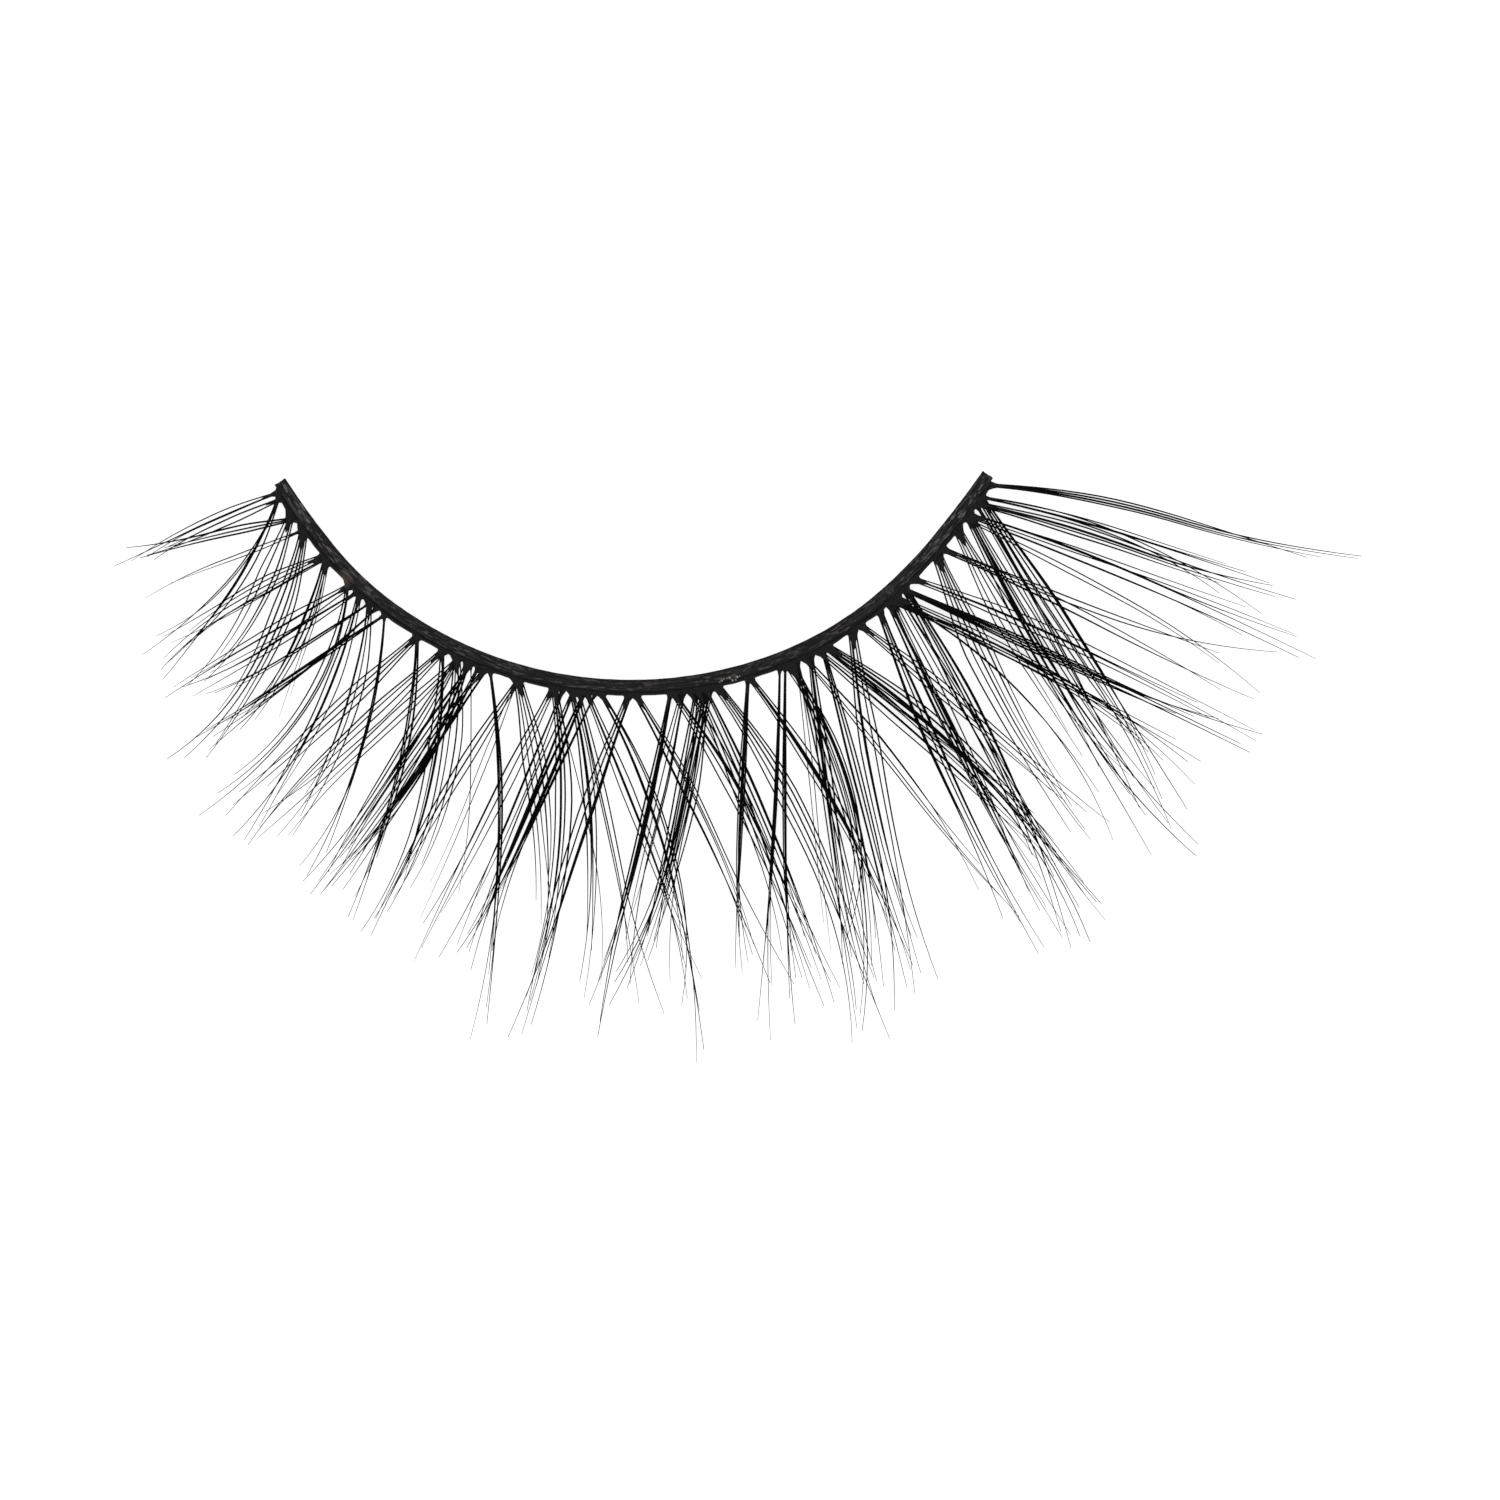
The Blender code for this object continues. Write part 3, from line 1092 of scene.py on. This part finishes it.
def add_web(pile, template, line, glue, lash, number):
    """Glue drawn out round the root of one tuft, wide where it leaves the band."""
    tuft = TUFTS[number]
    offsets = root_offsets(tuft, tuft_chance(lash, number))
    level = OUTWARD_LEVEL if is_outward(tuft, line) else INWARD_LEVEL
    slant = math.radians(tuft.lean - line.heading(tuft.share))
    root = line.point(tuft.share, line.half_width)
    half_root = (offsets[-1] - offsets[0]) / 2 * lash.root_gap + lash.thickness / 2
    reach = glue.web + half_root * abs(math.tan(slant))
    places = []
    radii = []
    for index in range(WEB_STEPS + 1):
        share = index / WEB_STEPS
        away = reach * (share * (1.0 + WEB_INSIDE) - WEB_INSIDE)
        place = root + bearing(tuft.lean) * away
        place.z = level + WEB_LIFT
        flare = math.exp(-max(away, 0.0) / glue.web * FLARE_FADE)
        tapered = max(share - WEB_TAPER_START, 0.0) / (1.0 - WEB_TAPER_START)
        places.append(place)
        radii.append((half_root + glue.web_flare * flare) * (1.0 - WEB_TAPER * tapered))
    bend_tube(add_copy(pile, template), places, radii, [glue.web_depth] * len(places))


def add_bead(pile, line, glue):
    """The uneven bead of glue that runs along the convex edge of the band."""
    template = unit_tube(BEAD_SIDES, BEAD_STEPS)
    places = []
    radii = []
    for index in range(BEAD_STEPS + 1):
        share = BEAD_BARE + (1.0 - 2 * BEAD_BARE) * index / BEAD_STEPS
        wave = uneven((share * line.length, 0.0, 0.0), BEAD_WAVE)
        place = line.point(share, line.half_width + glue.bead_out + BEAD_SWAY * wave)
        place.z = BAND_HIGH.z * BEAD_HEIGHT
        places.append(place)
        radii.append(glue.bead / 2 * (1.0 + BEAD_SWELL * wave))
    depths = [radius * BEAD_DEPTH for radius in radii]
    bend_tube(add_copy(pile, template), places, radii, depths)
    bpy.data.meshes.remove(template)


def fused(pile, voxel):
    """Pile of closed shapes fused into one, at a scale that the remesher can grip."""
    bmesh.ops.scale(pile, verts=pile.verts, vec=(1 / MILLIMETRE,) * 3)
    rough = bpy.data.meshes.new("rough_glue")
    pile.to_mesh(rough)
    pile.free()
    holder = bpy.data.objects.new("rough_glue", rough)
    bpy.context.scene.collection.objects.link(holder)
    fuse = holder.modifiers.new("fuse", "REMESH")
    fuse.mode = "VOXEL"
    fuse.voxel_size = voxel / MILLIMETRE
    melt = holder.modifiers.new("melt", "SMOOTH")
    melt.factor = 0.5
    melt.iterations = 8
    graph = bpy.context.evaluated_depsgraph_get()
    smooth = bpy.data.meshes.new_from_object(holder.evaluated_get(graph))
    result = bmesh.new()
    result.from_mesh(smooth)
    bmesh.ops.scale(result, verts=result.verts, vec=(MILLIMETRE,) * 3)
    bpy.data.objects.remove(holder)
    bpy.data.meshes.remove(rough)
    bpy.data.meshes.remove(smooth)
    return result


def make_glue(line, glue, lash):
    """Bead along the band and a web at every tuft, fused into one."""
    pile = bmesh.new()
    add_bead(pile, line, glue)
    template = unit_tube(WEB_SIDES, WEB_STEPS)
    for number in range(len(TUFTS)):
        add_web(pile, template, line, glue, lash, number)
    bpy.data.meshes.remove(template)
    return fused(pile, glue.voxel)


def make_crumbs(line, seed):
    """A few crumbs of clear glue on the band's lower edge."""
    chance = random.Random(seed)
    crumbs = bmesh.new()
    for index in range(CRUMBS):
        share = CRUMB_START + CRUMB_RUN * index / (CRUMBS - 1)
        share += chance.uniform(-CRUMB_SCATTER, CRUMB_SCATTER)
        radius = chance.uniform(*CRUMB_RADII)
        place = line.point(share, line.half_width * chance.uniform(*CRUMB_OFFSETS))
        place.z = BAND_HIGH.z
        ball = bmesh.ops.create_icosphere(
            crumbs, subdivisions=3, radius=radius, matrix=Matrix.Translation(place)
        )
        bumps = CRUMB_BUMPS._replace(seed=index)
        for vertex in ball["verts"]:
            out = vertex.co - place
            out.z *= CRUMB_FLATNESS
            vertex.co = place + out * (1.0 + uneven(vertex.co, bumps))
    return crumbs


def show_piece(piece, slot, *nodes):
    """Ride on the part and stand for its nodes; the slot is not used."""
    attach(piece, "root")
    if nodes:
        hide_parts(*nodes)


def stain_centre(line):
    """Middle of the brown stain near the inner corner, on the band's top edge."""
    place = line.point(STAIN_SHARE, line.half_width + STAIN_OFFSET)
    place.z = BAND_HIGH.z * STAIN_HEIGHT
    return place


class LASHSTRIP_OT_add_band(bpy.types.Operator):
    """Add the cotton band"""

    bl_idname = "lash_strip.add_band"
    bl_label = "Add Band"
    bl_options = {"REGISTER"}

    def execute(self, context):
        settings = context.scene.lash_band
        line = BandLine(settings)
        material = cotton_material(settings, stain_centre(line))
        band = new_piece("cotton_band", make_band(settings, line), material)
        show_piece(band, "band_cotton", "band")
        return {"FINISHED"}


class LASHSTRIP_OT_add_glue(bpy.types.Operator):
    """Add the root glue and its clear crumbs"""

    bl_idname = "lash_strip.add_glue"
    bl_label = "Add Root Glue"
    bl_options = {"REGISTER"}

    def execute(self, context):
        line = BandLine(context.scene.lash_band)
        settings = context.scene.lash_glue
        lash = context.scene.lash_hair
        material = glue_material(settings, stain_centre(line))
        glue = new_piece("root_glue", make_glue(line, settings, lash), material)
        show_piece(glue, None)
        clear = clear_glue_material(settings)
        crumbs = new_piece("clear_glue", make_crumbs(line, lash.seed), clear)
        show_piece(crumbs, None)
        return {"FINISHED"}


class LASHSTRIP_OT_add_fringe(bpy.types.Operator):
    """Add both layers of lash hairs"""

    bl_idname = "lash_strip.add_fringe"
    bl_label = "Add Fringe"
    bl_options = {"REGISTER"}

    def execute(self, context):
        line = BandLine(context.scene.lash_band)
        lash = context.scene.lash_hair
        material = lash_material(lash)
        inward = new_piece("inward_lashes", make_layer(line, lash, INWARD_LEVEL, False), material)
        show_piece(inward, "lash_fibre", "fringe_inward")
        outward = new_piece("outward_lashes", make_layer(line, lash, OUTWARD_LEVEL, True), material)
        show_piece(outward, "lash_fibre", "fringe_outward")
        return {"FINISHED"}


def add_floor(settings):
    """White sheet under the strip, far wider than the picture."""
    pad = bmesh.new()
    bmesh.ops.create_grid(pad, x_segments=1, y_segments=1, size=FLOOR_HALF_WIDTH)
    floor = new_piece("floor", pad, floor_material(settings.floor, settings.glow))


def add_softbox(name, azimuth, elevation, power):
    """Square area light that faces the middle of the floor."""
    light = bpy.data.lights.new(name, "AREA")
    light.size = LIGHT_SIZE
    light.energy = power
    box = bpy.data.objects.new(name, light)
    bpy.context.scene.collection.objects.link(box)
    angle = math.radians(azimuth)
    height = math.radians(elevation)
    level = Vector((math.sin(angle), -math.cos(angle), 0.0)) * math.cos(height)
    away = level + Vector((0.0, 0.0, math.sin(height)))
    box.location = away * LIGHT_DISTANCE
    box.rotation_euler = away.to_track_quat("Z", "Y").to_euler()


def add_surround(strength):
    """Even white light from all round."""
    world = bpy.data.worlds.new("white_surround")
    world.use_nodes = True
    background = world.node_tree.nodes["Background"]
    background.inputs["Color"].default_value = (1.0, 1.0, 1.0, 1.0)
    background.inputs["Strength"].default_value = strength
    bpy.context.scene.world = world


def add_camera(settings):
    """Long lens straight above the strip, as wide as the picture on the floor."""
    lens = bpy.data.cameras.new("camera")
    lens.sensor_width = 36.0
    lens.lens = lens.sensor_width * settings.distance / settings.frame_width
    lens.clip_start = 0.01
    camera = bpy.data.objects.new("camera", lens)
    bpy.context.scene.collection.objects.link(camera)
    centre = (BAND_LOW + BAND_HIGH) / 2 + Vector(settings.offset)
    camera.location = (centre.x, centre.y, settings.distance)
    camera.rotation_euler.z = settings.roll
    bpy.context.scene.camera = camera


class LASHSTRIP_OT_add_stage(bpy.types.Operator):
    """Add the floor, the lights and the camera"""

    bl_idname = "lash_strip.add_stage"
    bl_label = "Add Stage"
    bl_options = {"REGISTER"}

    def execute(self, context):
        settings = context.scene.lash_stage
        add_floor(settings)
        add_softbox("key_light", azimuth=-35.0, elevation=55.0, power=settings.power)
        add_softbox("fill_light", azimuth=145.0, elevation=55.0, power=settings.power)
        add_surround(settings.sky)
        add_camera(settings)
        context.scene.view_settings.view_transform = "Standard"
        return {"FINISHED"}


class LASHSTRIP_PT_sidebar(bpy.types.Panel):
    """Settings and buttons for the strip lash"""

    bl_label = "Strip Lash"
    bl_idname = "LASHSTRIP_PT_sidebar"
    bl_space_type = "VIEW_3D"
    bl_region_type = "UI"
    bl_category = "Lashes"

    def draw(self, context):
        scene = context.scene
        groups = (
            (scene.lash_band, LASHSTRIP_OT_add_band),
            (scene.lash_glue, LASHSTRIP_OT_add_glue),
            (scene.lash_hair, LASHSTRIP_OT_add_fringe),
            (scene.lash_stage, LASHSTRIP_OT_add_stage),
        )
        for settings, operator in groups:
            box = self.layout.box()
            for name in settings.__annotations__:
                box.prop(settings, name)
            box.operator(operator.bl_idname)


SETTINGS = {
    "lash_band": BandSettings,
    "lash_glue": GlueSettings,
    "lash_hair": LashSettings,
    "lash_stage": StageSettings,
}
OPERATORS = (
    LASHSTRIP_OT_add_band,
    LASHSTRIP_OT_add_glue,
    LASHSTRIP_OT_add_fringe,
    LASHSTRIP_OT_add_stage,
)


def register():
    """Make the settings, the operators and the panel known."""
    for name, group in SETTINGS.items():
        bpy.utils.register_class(group)
        setattr(bpy.types.Scene, name, PointerProperty(type=group))
    for operator in OPERATORS:
        bpy.utils.register_class(operator)
    bpy.utils.register_class(LASHSTRIP_PT_sidebar)


def unregister():
    """Take away what register added."""
    bpy.utils.unregister_class(LASHSTRIP_PT_sidebar)
    for operator in reversed(OPERATORS):
        bpy.utils.unregister_class(operator)
    for name, group in reversed(SETTINGS.items()):
        delattr(bpy.types.Scene, name)
        bpy.utils.unregister_class(group)


def main():
    """Build every piece and the stage."""
    register()
    bpy.ops.lash_strip.add_band()
    bpy.ops.lash_strip.add_glue()
    bpy.ops.lash_strip.add_fringe()
    bpy.ops.lash_strip.add_stage()


if __name__ == "__main__":
    main()
